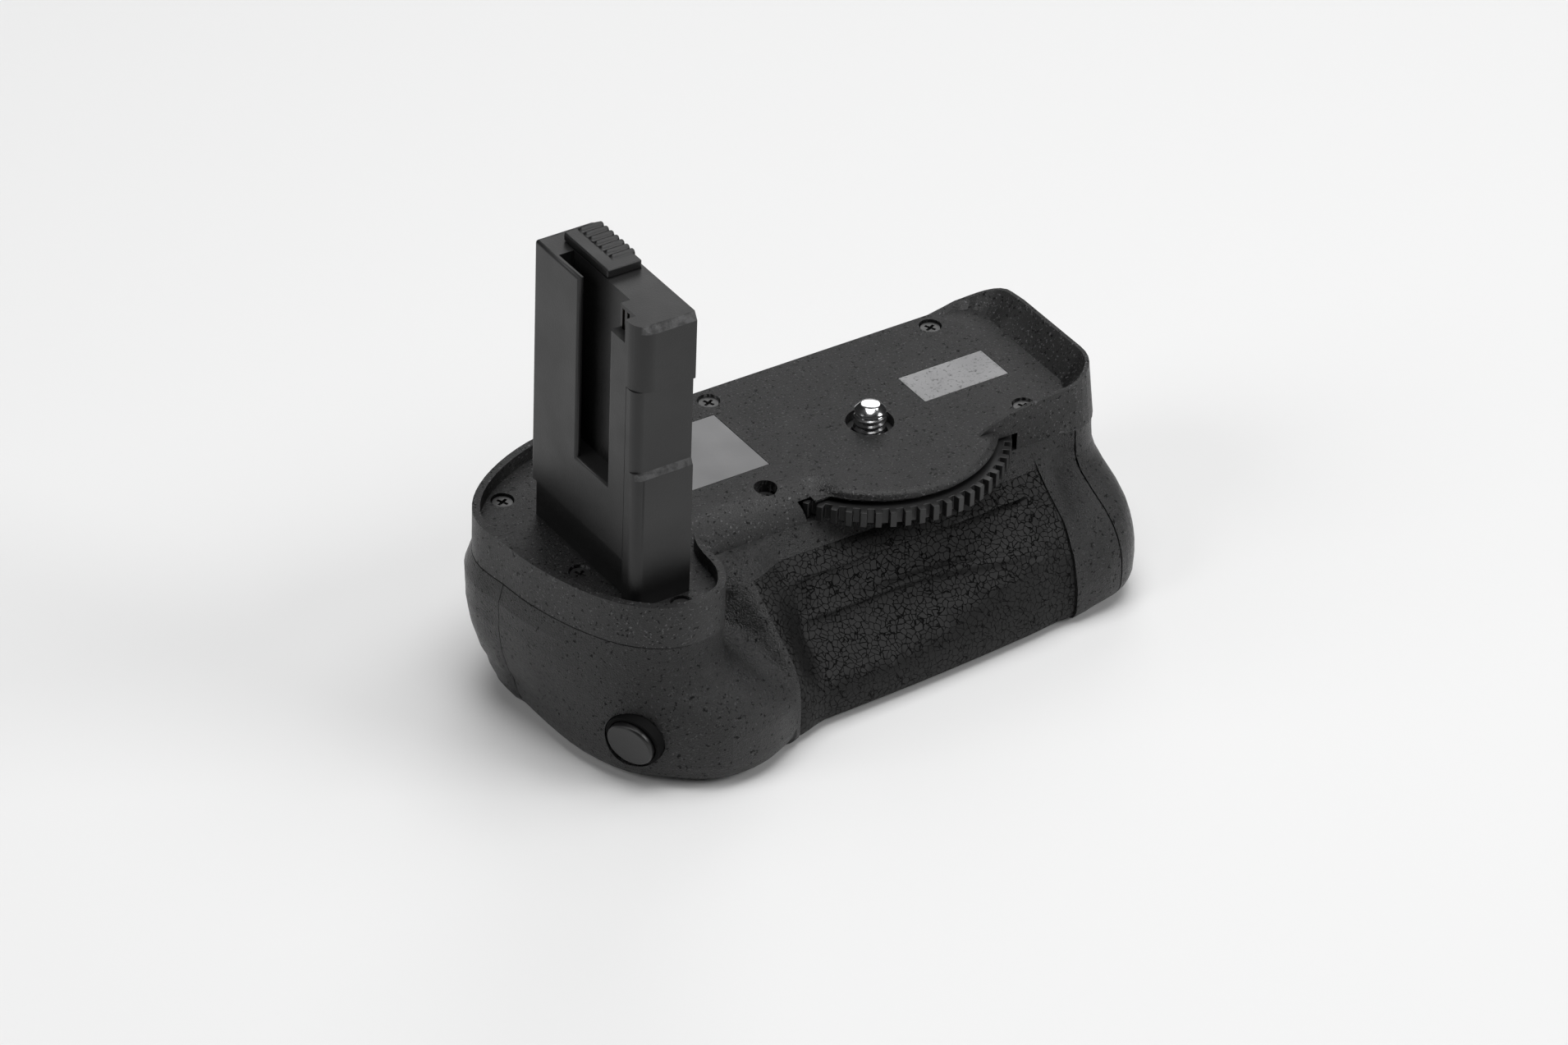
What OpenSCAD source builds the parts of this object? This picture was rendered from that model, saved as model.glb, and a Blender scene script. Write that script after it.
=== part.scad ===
// Vertical battery grip for a small reflex camera, with the dummy-cell stalk that enters the camera.
// Origin on the base plane, straight below the tripod screw. +X runs along the body away from the
// stalk, -Y is the finger side, +Z is up. Millimetres.

/* [Housing] */
// Height of the camera seat above the base
seat_h = 37; // [36.8:0.1:38.4]
// Drop from the camera seat to the seam between the top cover and the shells
seam_drop = 6; // [5.8:0.1:6.2]
// Thickness of the top plate
plate_t = 2.2; // [2:0.1:2.3]
// Reach of the body from the screw axis to the stalk end
left_x = 83.3; // [82:0.5:86]
// Reach of the body from the screw axis to the battery door end
right_x = 44.5; // [44:0.5:47]
// Reach of the body from the screw axis to the back wall
back_y = 25; // [24.9:0.1:26]
// Reach of the body from the screw axis to the front wall under the camera
front_y = 15; // [14.9:0.1:15.4]
// How far the finger bulge stands in front of the front wall at the stalk end
bulge = 28.5; // [27.5:0.1:29]
// Wall thickness of the shells at the base
floor_t = 1.4; // [1.2:0.1:1.4]
// Thickness of the side walls round the battery bay
bay_wall = 1.2; // [0.9:0.1:1.2]
// Fore-and-aft place of the joint between front and rear shell
split_y = -3; // [-4:0.5:-2.5]
// Gap all round the battery door
door_gap = 0.3; // [0.2:0.05:0.4]

/* [Camera end rim and lip] */
// Height of the rim round the stalk above the seat
rim_h = 3; // [2:0.5:4]
// Thickness of that rim
rim_t = 1.5; // [1.2:0.1:2]
// Height of the lip at the far end above the seat
lip_h = 5.5; // [4:0.5:7]
// Radius of the rounded front shoulder between the stalk and the wheel
shoulder_r = 7; // [6:0.5:7]

/* [Thumbwheel and tripod screw] */
// Radius of the thumbwheel over its teeth
wheel_r = 27.2; // [26.6:0.1:27.6]
// Thickness of the thumbwheel
wheel_t = 3.2; // [2.8:0.1:3.3]
// Number of teeth on the thumbwheel
wheel_teeth = 60; // [48:2:72]
// Depth of the teeth
tooth_h = 1.5; // [1:0.1:1.8]
// Radius of the half-round cover over the wheel
cover_r = 24.6; // [23.5:0.1:25.2]
// Diameter of the tripod screw
screw_d = 6.35; // [6.3:0.05:6.4]
// How far the screw tip stands above the seat
screw_out = 4; // [3:0.5:5]
// Diameter of the hole in the top plate round the screw
screw_hole_d = 9.4; // [8.6:0.2:10]

/* [Battery bay] */
// Length of one cell
cell_l = 52.7; // [50:0.1:53]
// Width of one cell
cell_w = 37.5; // [36.5:0.1:37.5]
// Thickness of one cell
cell_t = 13.8; // [13.2:0.1:13.8]
// Opening radius of the hinge pin
hinge_pin_r = 0.7; // [0.6:0.05:0.8]

/* [Stalk] */
// Thickness of the stalk, along the body
stalk_t = 12.3; // [12:0.1:13]
// Width of the stalk, front to back
stalk_w = 35.5; // [35:0.5:37]
// Height of the stalk above the seat
stalk_h = 61; // [58:0.5:64]
// Distance from the screw axis to the outer wide face of the stalk
stalk_x = 72; // [71.5:0.5:72.5]
// Width of the mouth of the channel in the wide face
channel_w = 10.7; // [9:0.1:11]
// Height of the channel, open at the top
channel_h = 39; // [34:1:42]
// Depth of the channel behind the wide face
channel_d = 4.2; // [4.1:0.1:5]
// Number of ribs on the sliding catch
catch_ribs = 7; // [5:1:8]
// Travel of the sliding catch
catch_travel = 2.5; // [1:0.5:3]

/* [Finger grip] */
// Thickness of the rubber
rubber_t = 1.6; // [1.2:0.1:2]
// Left edge of the rubber
rubber_x0 = -40; // [-41:0.5:-39]
// Right edge of the rubber
rubber_x1 = 27; // [25:0.5:28]
// Drop from the seat to the top edge of the rubber
rubber_drop = 10; // [9:0.5:11]

/* [Controls] */
// Radius of the shutter button
button_r = 4.8; // [4.4:0.1:5.2]
// How far the button stands out of its ring
button_out = 1.7; // [1.5:0.1:2.2]
// Travel of the shutter button
button_travel = 1.2; // [0.8:0.1:1.2]
// Travel of the power switch
power_travel = 3; // [2:0.5:4]
// Travel of the door latch
latch_travel = 3; // [2:0.5:3.5]

/* [Screws and inserts] */
// Head diameter of the plate screws
head_d = 3.9; // [3.6:0.1:4.2]
// Shank diameter of the plate screws
shank_d = 2.4; // [2.2:0.1:2.6]
// Clearance between a screw and its hole, on the radius
screw_gap = 0.05; // [0.03:0.01:0.08]
// Clearance between fitted pieces
fit = 0.15; // [0.1:0.05:0.2]

/* [Hidden] */
$fn = 48;
eps = 0.05;

seam_z = seat_h - seam_drop;
roof_z = seat_h - plate_t;
rubber_z1 = seat_h - rubber_drop;
rubber_z0 = 0.8;
door_x = 37.8;
shell_x = door_x - door_gap;
corner_r = 9;
back_r = 8;
cover_grey = [0.13, 0.13, 0.14];
shell_grey = [0.11, 0.11, 0.12];
steel_grey = [0.62, 0.62, 0.64];

// Point on a smooth line through a list of points, between p1 and p2
function blend_pt(p0, p1, p2, p3, t) = 0.5 * (2 * p1 + (p2 - p0) * t
    + (2 * p0 - 5 * p1 + 4 * p2 - p3) * t * t + (3 * p1 - p0 - 3 * p2 + p3) * t * t * t);
// Smooth line through a list of points, with n steps between neighbours
function smooth(p, n) = [
    for (i = [0 : len(p) - 2]) for (k = [0 : n - 1])
        blend_pt(p[max(i - 1, 0)], p[i], p[i + 1], p[min(i + 2, len(p) - 1)], k / n),
    p[len(p) - 1]];
function mix(a, b, t) = a + (b - a) * t;
function ease(t) = let(u = min(max(t, 0), 1)) u * u * (3 - 2 * u);
function unit(v) = v / norm(v);
function reversed(p) = [for (i = [len(p) - 1 : -1 : 0]) p[i]];
function arc(cx, cy, rx, ry, a0, a1, n) = [
    for (k = [0 : n]) let(a = mix(a0, a1, k / n)) [cx + rx * cos(a), cy + ry * sin(a)]];

// Outline of the stalk end at the seam, from the shell joint round the front to the front wall
lobe_seam = smooth([[-left_x, split_y], [0.9 - left_x, -11], [3.7 - left_x, -21],
    [8.3 - left_x, -30], [14.8 - left_x, -35.6], [21.8 - left_x, -37], [27.6 - left_x, -35],
    [31 - left_x, -29.5], [31.9 - left_x, -22], [34.8 - left_x, -front_y - 1.8],
    [rubber_x0 - 1.5, -front_y], [rubber_x0, -front_y]], 3);
// The same line at the height of the finger bulge
lobe_bulge = smooth([[1.5 - left_x, split_y], [2.3 - left_x, -12], [4.5 - left_x, -22],
    [8.7 - left_x, -31.5], [15.3 - left_x, -38], [22.8 - left_x, -front_y - bulge + 0.8],
    [29.3 - left_x, -front_y - bulge], [34.8 - left_x, -front_y - bulge + 0.8],
    [38.6 - left_x, -front_y - bulge + 2.3], [41.2 - left_x, -front_y - bulge + 3.6],
    [rubber_x0 - 0.7, -front_y - bulge + 4.5], [rubber_x0, -front_y - bulge + 4.8]], 3);
// Outline of the back left corner, from the straight back wall to the shell joint
back_seam = smooth([[-46, back_y], [-56, back_y - 0.4], [-65, back_y - 2.5],
    [10.6 - left_x, back_y - 6], [4.6 - left_x, back_y - 10.4], [0.7 - left_x, back_y - 15.4],
    [-0.8 - left_x, 4], [-left_x, split_y]], 3);
back_bulge = smooth([[-46, back_y], [-56, back_y - 0.6], [-64.5, back_y - 3],
    [11.6 - left_x, back_y - 7], [6.4 - left_x, back_y - 11.8], [2.6 - left_x, back_y - 16.5],
    [1.1 - left_x, 4], [1.5 - left_x, split_y]], 3);
// Round corners of the battery door end, front and back. The end flares out from the lip to the seam
end_flare = 1.3;
end_x = right_x + end_flare;
front_corner = arc(right_x - corner_r, corner_r - front_y, corner_r, corner_r, -90, 0, 8);
back_corner = arc(right_x - back_r, back_y - back_r, back_r, back_r, 0, 90, 8);
outline = concat(lobe_seam, front_corner, back_corner, back_seam);

// Front of the finger grip over its length, and of the shell beside it
grip_reach_l = front_y + bulge - 7.3;
grip_reach_r = grip_reach_l - 3.6;
function along(x) = (x - rubber_x0) / (rubber_x1 - rubber_x0);
function grip_front(x) = 3.6 * pow(along(x), 2) - grip_reach_l;
end_rx = 12.3;
end_ry = 13;
end_cx = end_x + 0.6 - end_rx;
end_cy = end_ry - grip_reach_r - 0.6;
function side_bulge(x, step) = end_cy - (end_ry - step)
    * sqrt(1 - pow(max(x - end_cx, 0) / (end_rx - step), 2));
function side_seam(x) = let(d = max(x - end_x + corner_r, 0))
    corner_r - front_y - sqrt(corner_r * corner_r - d * d);

// Share of the way from the seam outline to the bulge outline, at depth d below the seam
lobe_share = [[0, 0], [4, -0.04], [7, -0.03], [10, 0.14], [13, 0.6], [16, 0.88], [19, 0.98], [22, 1]];
edge_share = [[0, 0], [2.8, 0.22], [6.7, 0.43], [10.4, 0.64], [13.1, 0.84], [17, 0.97], [22, 1]];
mid_share = [[0, 0], [3, 0.12], [6.6, 0.36], [10.7, 0.7], [16.7, 0.91], [23, 1]];
door_share = [[0, 0], [5, 0.02], [7, 0.06], [9, 0.2], [11, 0.48], [13, 0.74], [17, 0.93], [21, 1]];
rear_share = [[0, 0], [1, -0.2], [4, -0.6], [9, -0.5], [14, 0.3], [19, 1.1], [24, 1.6]];
// How far the stalk end steps in at the joint of the two shells, at height z
rear_inset = 1.9;
function joint_step(z) = rear_inset * lookup(seam_z - z, rear_share);
// Inward step of the rounded bottom edge of radius r at height z
function foot_step(z, r) = z < r ? r - sqrt(r * r - pow(r - max(z, 0), 2)) : 0;
// Inward direction at point i of an outline that runs anticlockwise
function inward(p, i) = let(d = p[min(i + 1, len(p) - 1)] - p[max(i - 1, 0)]) unit([-d[1], d[0]]);

// The lofts run this far past the joint planes, where exact blocks cut them
over = 5;
lobe_foot_r = 5.6;
grip_foot_r = 3.4;
end_foot_r = 6.2;
rear_foot_r = 3;
function lobe_ring(z) = [for (i = [0 : len(lobe_seam) - 1])
    let(t = ease((lobe_seam[i][0] + 52) / 11), d = seam_z - z,
        s = mix(lookup(d, lobe_share), lookup(d, edge_share), t),
        turn = i == 0 ? [1, 0] : i == len(lobe_seam) - 1 ? [0, 1] : inward(lobe_bulge, i))
    mix(lobe_seam[i], lobe_bulge[i], s) + turn * foot_step(z, mix(lobe_foot_r, 3.4, ease(t * 2 - 1)))
        + [ease(1 - i / 10) * (joint_step(z) - (lobe_bulge[0][0] + left_x) * lookup(d, lobe_share)), 0]];
// Height of the crease that ends the finger channel: it climbs towards the door
function crease_z(x) = seam_z - 16.2 + 6.2 * ease((x + 14) / 36);
function grip_line(x) = let(c = crease_z(x), g = grip_front(x), top = rubber_z1) [
    [0, g], [8, g], [c - 4.4, g + 1.4], [c - 2, -front_y - 15.4 + 1.2 * along(x)],
    [c - 0.6, -front_y - 12.6], [c + 0.8, -front_y - 11],
    [(c + top) / 2, -front_y - 8.6], [top - 2, -front_y - 6.3], [top - 0.7, -front_y - 4.4],
    [top, -front_y - 3.3], [top + 2.4, -front_y - 1.1], [seam_z, -front_y]];
// Front of the lobe at the left edge of the rubber
function edge_y(z) = mix(-front_y, lobe_bulge[len(lobe_bulge) - 1][1], lookup(seam_z - z, edge_share))
    + foot_step(z, grip_foot_r);
// The channel fades out towards both ends of the rubber, which lies this far under the shell there
rubber_in = 0.5;
function grip_y(x, z) = let(step = rubber_in * ease((rubber_z1 + 2 - z) / 2),
    channel = lookup(z, grip_line(x)) + foot_step(z, grip_foot_r))
    mix(edge_y(z) + step, mix(side_y(rubber_x1, z) + step, channel, ease((rubber_x1 - x) / 9)),
        ease((x - rubber_x0) / 9));
grip_xs = concat([for (k = [0 : 5]) rubber_x0 + eps + 1.6 * k],
    [for (k = [1 : 13]) mix(rubber_x0 + 8, rubber_x1 - 8, k / 14)],
    [for (k = [5 : -1 : 0]) rubber_x1 - eps - 1.6 * k]);
side_xs = [rubber_x1, mix(rubber_x1, shell_x, 0.25), mix(rubber_x1, shell_x, 0.5),
    mix(rubber_x1, shell_x, 0.75), shell_x];
function side_y(x, z) = let(d = seam_z - z, t = ease((x - rubber_x1) / 8))
    mix(side_seam(x), side_bulge(x, foot_step(z, mix(grip_foot_r, end_foot_r, t))),
        mix(lookup(d, mid_share), lookup(d, door_share), t));
function under_rubber(z) = z > rubber_z0 - 0.001 && z < rubber_z1 + 0.001;
function front_ring(z) = let(lobe = lobe_ring(z)) concat(
    [[lobe[0][0], split_y + over]], lobe,
    [for (x = grip_xs) [x, grip_y(x, z) + (under_rubber(z) ? rubber_t : 0)]],
    [for (x = side_xs) [x, side_y(x, z)]],
    [[shell_x + over, side_y(shell_x, z)], [shell_x + over, split_y + over], [-65, split_y + over]]);
rubber_levels = concat([rubber_z0, 1.7, 3, 5, 8, 11],
    [for (k = [0 : 7]) mix(13, rubber_z1 - 0.7, k / 7)], [rubber_z1]);
shell_levels = concat([-over, 0, 0.3, rubber_z0 - eps], rubber_levels,
    [rubber_z1 + eps, rubber_z1 + 1.6, seam_z - 1, seam_z, seam_z + over]);

// Solid through a stack of rings with equal counts, fanned at both ends from the point called hub
module loft(rings, levels, hub) {
    n = len(rings[0]);
    m = len(rings);
    order = [for (k = [0 : n - 1]) (hub + k) % n];
    polyhedron(
        points = [for (j = [0 : m - 1]) for (p = rings[j]) [p[0], p[1], levels[j]]],
        faces = concat(
            [for (j = [0 : m - 2]) for (i = [0 : n - 1]) let(k = (i + 1) % n)
                [j * n + i, (j + 1) * n + i, (j + 1) * n + k]],
            [for (j = [0 : m - 2]) for (i = [0 : n - 1]) let(k = (i + 1) % n)
                [j * n + i, (j + 1) * n + k, j * n + k]],
            [order],
            [[for (k = reversed(order)) (m - 1) * n + k]]),
        convexity = 8);
}

// Box from its lowest to its highest corner
module block(a, b) {
    translate(a)
        cube(b - a);
}

// Inner end of the battery bay: one cell, its contacts and the gap at the door
cell_inset = 0.3;
contact_room = 1.9;
bay_x0 = shell_x - cell_inset - cell_l - contact_room;

// Places of the plate screws, each with the height of its head's top and its lower end
boss_z = roof_z - 1.8;
boss_r = 3.2;
boss_gap = 2;
head_h = 1.5;
screws = [
    [bay_x0 - boss_gap - boss_r, back_y - 3.5, seat_h - 0.5, 8], [28.6, back_y - 3.4, seat_h - 0.5, 4.4],
    [28.6, 4.9 - front_y, seat_h - 0.5, 4.4], [9.5 - left_x, 13.1, seat_h - 0.5, 8],
    [9.7 - left_x, -14, seat_h - 0.5, 8], [20.5 - left_x, -31.9, seat_h - 0.5, 8],
    [-29.2, 6.6 - front_y, seat_h - 2.4, 8]];
frame_screws = [screws[1], screws[2]];
rear_screws = [screws[0], screws[3]];
front_screws = [screws[4], screws[5]];
shoulder_screw = screws[6];
shoulder_boss_z = shoulder_screw[2] - head_h - 1.2;

module screw_holes(list, low) {
    for (s = list)
        translate([s[0], s[1], low])
            cylinder(r = shank_d / 2 + screw_gap, h = s[2] - low);
}

module bosses(list, low, high, r) {
    for (s = list)
        translate([s[0], s[1], low])
            cylinder(r = r, h = high - low);
}

// Thumbwheel heights
wheel_z0 = seam_z + 0.2;
wheel_z1 = wheel_z0 + wheel_t;
web_z1 = wheel_z1 - 0.9;
slot_z1 = wheel_z1 + 0.5;
slot_r = wheel_r + 1;
screw_plate_t = 0.8;
screw_plate_w = 26;
washer_r = 9;
washer_bore_r = 4.5;

// Stalk outline and the hole for its tenon
stalk_y1 = 6;
stalk_y0 = stalk_y1 - stalk_w;
stalk_top = seat_h + stalk_h;
stalk_x1 = stalk_t - stalk_x;
tenon_in = 2.5;

// Lip at the door end: path of its outer edge with the height at each point
lip_path = concat(
    [[15, -front_y, 0.05], [17, -front_y, 0.9], [19, -front_y, 1.8], [22, -front_y, 2.7],
        [27, -front_y, 3.3], [31, -front_y, 3.7]],
    [for (k = [0 : 8]) [front_corner[k][0], front_corner[k][1], mix(4, lip_h, ease(k / 5))]],
    [[right_x, 5, lip_h], [right_x, 13, lip_h]],
    [for (k = [0 : 8]) [back_corner[k][0], back_corner[k][1], mix(lip_h - 0.4, 1.2, ease(k / 8))]],
    [[33.5, back_y, 0.6], [30.5, back_y, 0.05]]);
// Foot of the lip, at this depth under the seat so that its slope runs through the seat
foot_depth = 0.4;
function lip_foot(k) = let(p = [for (q = lip_path) [q[0], q[1]]], h = lip_path[k][2])
    p[k] + inward(p, k) * (0.9 + 0.75 * h + (0.1 + 0.75 * h) * foot_depth / h);
module lip() {
    n = len(lip_path);
    w = [for (q = lip_path) [q[0], q[1]]];
    sections = [for (k = [0 : n - 1])
        let(h = lip_path[k][2], f = lip_foot(k), c = w[k] + inward(w, k) * 0.8,
            e = w[k] - inward(w, k) * end_flare * ease((w[k][0] - 33) / 9))
        [[e[0], e[1], seam_z], [w[k][0], w[k][1], seat_h + h], [c[0], c[1], seat_h + h],
            [f[0], f[1], seat_h - foot_depth], [f[0], f[1], seam_z]]];
    polyhedron(
        points = [for (s = sections) for (q = s) q],
        faces = concat(
            [for (k = [0 : n - 2]) for (i = [0 : 4]) let(j = (i + 1) % 5)
                [k * 5 + i, k * 5 + j, (k + 1) * 5 + j]],
            [for (k = [0 : n - 2]) for (i = [0 : 4]) let(j = (i + 1) % 5)
                [k * 5 + i, (k + 1) * 5 + j, (k + 1) * 5 + i]],
            [[4, 3, 2, 1, 0]],
            [[for (i = [0 : 4]) (n - 1) * 5 + i]]),
        convexity = 6);
}

// Side of the rim next to the front wall, and the hollow corner between them
rim_side_x = 32 - left_x;
hollow_r = 8.2;
hollow_x = rim_side_x + 8.5;

// Rim line inside the stalk end, one rim thickness in from the outline
module lobe_area(step) {
    front = [for (i = [0 : 26]) lobe_seam[i] + (i == 0 ? [1, 0] : inward(lobe_seam, i)) * step];
    back = [for (i = [0 : len(back_seam) - 1])
        back_seam[i] + (i == len(back_seam) - 1 ? [1, 0] : inward(back_seam, i)) * step];
    polygon(concat(front, back));
}

// What the rounded shoulder takes off, seen from the axis of the hollow corner
module shoulder_cut() {
    top = seat_h + rim_h + 1;
    polygon(concat([[0, seat_h - shoulder_r]],
        arc(hollow_r + shoulder_r, seat_h - shoulder_r, shoulder_r, shoulder_r, 180, 90, 12),
        [[hollow_r + shoulder_r, top], [0, top]]));
}

module top_cover() {
    color(cover_grey)
    difference() {
        union() {
            translate([0, 0, seam_z])
                linear_extrude(seam_drop)
                    polygon(outline);
            translate([0, 0, seat_h - eps])
                linear_extrude(rim_h + eps)
                    difference() {
                        lobe_area(0);
                        lobe_area(rim_t);
                        translate([-51.5, -60])
                            square([20, 120]);
                    }
            lip();
            rotate_extrude($fn = 96)
                polygon(concat([[0, slot_z1], [cover_r - 0.6, slot_z1]],
                    arc(cover_r - 1.4, seat_h - 1.4, 1.4, 1.4, 0, 90, 6), [[0, seat_h]]));
        }
        // rounded shoulder in front of the seat, between the stalk and the wheel
        translate([hollow_x, -front_y - hollow_r, 0])
            rotate([90, 0, 90])
                linear_extrude(1 - hollow_x - sqrt(cover_r * cover_r - 64))
                    shoulder_cut();
        // the same shoulder round the hollow corner beside the stalk end
        intersection() {
            translate([hollow_x, -front_y - hollow_r, 0])
                rotate_extrude($fn = 96)
                    shoulder_cut();
            block([rim_side_x, -front_y - hollow_r - 1, seam_z - 1],
                [hollow_x, shoulder_r - front_y, seat_h + rim_h + 1]);
        }
        // space for the wheel, open at the front as its slot
        translate([0, 0, seam_z - 1])
            cylinder(r = slot_r, h = slot_z1 - seam_z + 1, $fn = 96);
        // hollow underside
        difference() {
            union() {
                block([-46, 2 - front_y, seam_z - 1], [35, back_y - 1.2, roof_z]);
                block([9 - left_x, -12, seam_z - 1], [-45, back_y - 12, roof_z]);
                block([14 - left_x, -28, seam_z - 1], [28 - left_x, -11, roof_z]);
            }
            bosses([screws[0], screws[3], screws[4], screws[5]], boss_z, roof_z, boss_r);
            bosses(frame_screws, boss_z, roof_z, boss_r);
            bosses([shoulder_screw], shoulder_boss_z, roof_z, 3.8);
            bosses([[-46, 19], [-33, 19], [-46, -8], [-33, -8]], seam_z, roof_z, 2.2);
        }
        screw_holes(screws, seam_z - 1);
        for (s = screws)
            translate([s[0], s[1], s[2] - head_h])
                cylinder(r = head_d / 2 + 0.3, h = head_h + 12);
        translate([0, 0, roof_z - 1])
            cylinder(r = screw_hole_d / 2, h = plate_t + 2);
        // hole for the stalk's tenon
        block([tenon_in - stalk_x - fit, stalk_y0 + tenon_in - fit, roof_z - 1],
            [stalk_x1 - tenon_in + fit, stalk_y1 - tenon_in + fit, seat_h + 1]);
        // seat of the hinge pin
        translate([hinge_x, hinge_y, seam_z - 1])
            cylinder(r = hinge_pin_r + 0.02, h = 1 + pin_seat);
        // recesses for the two labels
        for (l = labels)
            block([l[0], l[1], seat_h - label_t], [l[2], l[3], seat_h + 0.2]);
    }
}

// Labels: left, front, right and back edge of each
label_t = 0.2;
labels = [[12.7, 0, 32.2, 9.5], [-53, -2.5, -24.3, 17]];

module rating_label() {
    color([0.72, 0.72, 0.72])
        block([labels[0][0] + fit, labels[0][1] + fit, seat_h - label_t],
            [labels[0][2] - fit, labels[0][3] - fit, seat_h + 0.02]);
}

module data_label() {
    color([0.25, 0.25, 0.26])
        block([labels[1][0] + fit, labels[1][1] + fit, seat_h - label_t],
            [labels[1][2] - fit, labels[1][3] - fit, seat_h + 0.02]);
}

// Battery bay heights, from the floor up
bay_y1 = back_y - bay_wall;
bay_y0 = bay_y1 - cell_w - 0.5;
cell_gap = 0.1;
board_x0 = -52;
board_x1 = board_x0 + 18.5;
shelf_t = 0.6;
lower_z = floor_t + cell_gap;
shelf_z = lower_z + cell_t + cell_gap;
upper_z = shelf_z + shelf_t + cell_gap;
ceiling_z = upper_z + cell_t + cell_gap;
ceiling_t = 0.8;

// Inside of both shells
module inner_space() {
    block([bay_x0, bay_y0, floor_t], [door_x + 1, bay_y1, seam_z + 5]);
    block([board_x0 - 2, -12, seam_z - 7], [bay_x0 + 0.2, back_y - 3.5, seam_z + 5]);
}

// Place and direction of the shutter button: its ring's seat on the bulge
button_at = [10 - left_x, -32.8, 10.2];
module at_button() {
    translate(button_at)
        rotate([0, 102, 207])
            children();
}
ring_r = button_r + 0.9;
ring_deep = 1.8;
stem_r = 2.2;
switch_in = 7;

module front_shell() {
    color(shell_grey)
    intersection() {
        loft([for (z = shell_levels) front_ring(z)], shell_levels, len(front_ring(0)) - 1);
        difference() {
            union() {
                difference() {
                    block([-left_x - 5, -front_y - bulge - 5, 0], [shell_x, split_y, seam_z]);
                    inner_space();
                }
                bosses(front_screws, 1, seam_z, boss_r);
                intersection() {
                    bosses([shoulder_screw], 1, seam_z, boss_r);
                    block([-40, -front_y, 0], [-20, split_y, seam_z]);
                }
            }
            screw_holes(front_screws, boss_z - 8);
            screw_holes([shoulder_screw], shoulder_boss_z - 8);
            at_button() {
                translate([0, 0, -ring_deep])
                    cylinder(r = ring_r + fit, h = 12);
                translate([0, 0, -switch_in - 1])
                    cylinder(r = stem_r + 0.9, h = switch_in + 2);
                translate([0, 0, -switch_in - 9])
                    cylinder(r = 5.4, h = 9);
            }
        }
    }
}

rear_levels = [-over, 0, 0.3, 0.8, 1.5, 2.4, 3.6, 6, 9, 12, 15, 18, 21, 24, 27, seam_z - 1.5, seam_z, seam_z + over];
function rear_ring(z) = concat(
    [[shell_x + over, split_y - over], [shell_x + over, back_y - foot_step(z, rear_foot_r)]],
    [for (i = [0 : len(back_seam) - 1])
        let(s = lookup(seam_z - z, rear_share) * (i > 0 ? 1 : 0), last = i == len(back_seam) - 1,
            turn = last ? [1, 0] : i == 0 ? [0, -1] : inward(back_bulge, i),
            r = mix(rear_foot_r, lobe_foot_r, i / (len(back_seam) - 1)) + 2.5 * sin(180 * i / (len(back_seam) - 1)))
        (last ? [joint_step(z) - left_x, split_y] : mix(back_seam[i], back_bulge[i], s))
            + turn * foot_step(z, r)],
    [[joint_step(z) - left_x + foot_step(z, lobe_foot_r), split_y - over], [-50, split_y - over]]);

// Tripod bush in the base, beside the bay, with the wall of its boss and its gap to the bay
bush_r = 5.5;
bush_h = 7;
bush_wall = 2;
bush_gap = 2.1;
bush_at = [bay_x0 - bush_gap - bush_wall - bush_r, 5];
module rear_shell() {
    color(shell_grey)
    intersection() {
        loft([for (z = rear_levels) rear_ring(z)], rear_levels, len(rear_ring(0)) - 1);
        difference() {
            union() {
                difference() {
                    block([-left_x - 5, split_y, 0], [shell_x, back_y + 5, seam_z]);
                    inner_space();
                }
                bosses(rear_screws, 1, seam_z, boss_r);
                translate([bush_at[0], bush_at[1], 0.5])
                    cylinder(r = bush_r + bush_wall, h = bush_h - 0.5);
            }
            screw_holes(rear_screws, boss_z - 8);
            translate([bush_at[0], bush_at[1], -2])
                cylinder(r = bush_r + 0.02, h = bush_h + 3);
            translate([bush_at[0], bush_at[1], -2])
                cylinder(r = bush_r + bush_wall + 0.02, h = 3.2);
            // slot of the power switch and hole of the remote jack
            block([power_x - 4 - fit, back_y - 3, power_z - 1.4 - fit],
                [power_x + 4 + fit, back_y + 6, power_z + 1.4 + fit]);
            block([power_x - 7.2, back_y - 3.8, power_z - 4.2], [power_x + 7.2, back_y - 2, seam_z + 5]);
            translate([jack_x, back_y - 10.2, power_z])
                rotate([-90, 0, 0])
                    cylinder(r = jack_r + 0.02, h = 16);
        }
    }
}

module rubber_grip() {
    n = len(grip_xs);
    m = len(rubber_levels);
    outer = [for (z = rubber_levels) for (x = grip_xs) [x, grip_y(x, z), z]];
    inner = [for (z = rubber_levels) for (x = grip_xs) [x, grip_y(x, z) + rubber_t, z]];
    q = n * m;
    color([0.09, 0.09, 0.09])
        polyhedron(
            points = concat(outer, inner),
            faces = concat(
                [for (j = [0 : m - 2]) for (i = [0 : n - 2]) let(a = j * n + i)
                    [a, a + n, a + n + 1]],
                [for (j = [0 : m - 2]) for (i = [0 : n - 2]) let(a = j * n + i)
                    [a, a + n + 1, a + 1]],
                [for (j = [0 : m - 2]) for (i = [0 : n - 2]) let(a = q + j * n + i)
                    [a, a + n + 1, a + n]],
                [for (j = [0 : m - 2]) for (i = [0 : n - 2]) let(a = q + j * n + i)
                    [a, a + 1, a + n + 1]],
                [for (i = [0 : n - 2]) [i, i + 1, q + i + 1, q + i]],
                [for (i = [0 : n - 2]) let(a = (m - 1) * n + i) [a, q + a, q + a + 1, a + 1]],
                [for (j = [0 : m - 2]) let(a = j * n) [a, q + a, q + a + n, a + n]],
                [for (j = [0 : m - 2]) let(a = j * n + n - 1) [a, a + n, q + a + n, q + a]]),
            convexity = 6);
}

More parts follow.
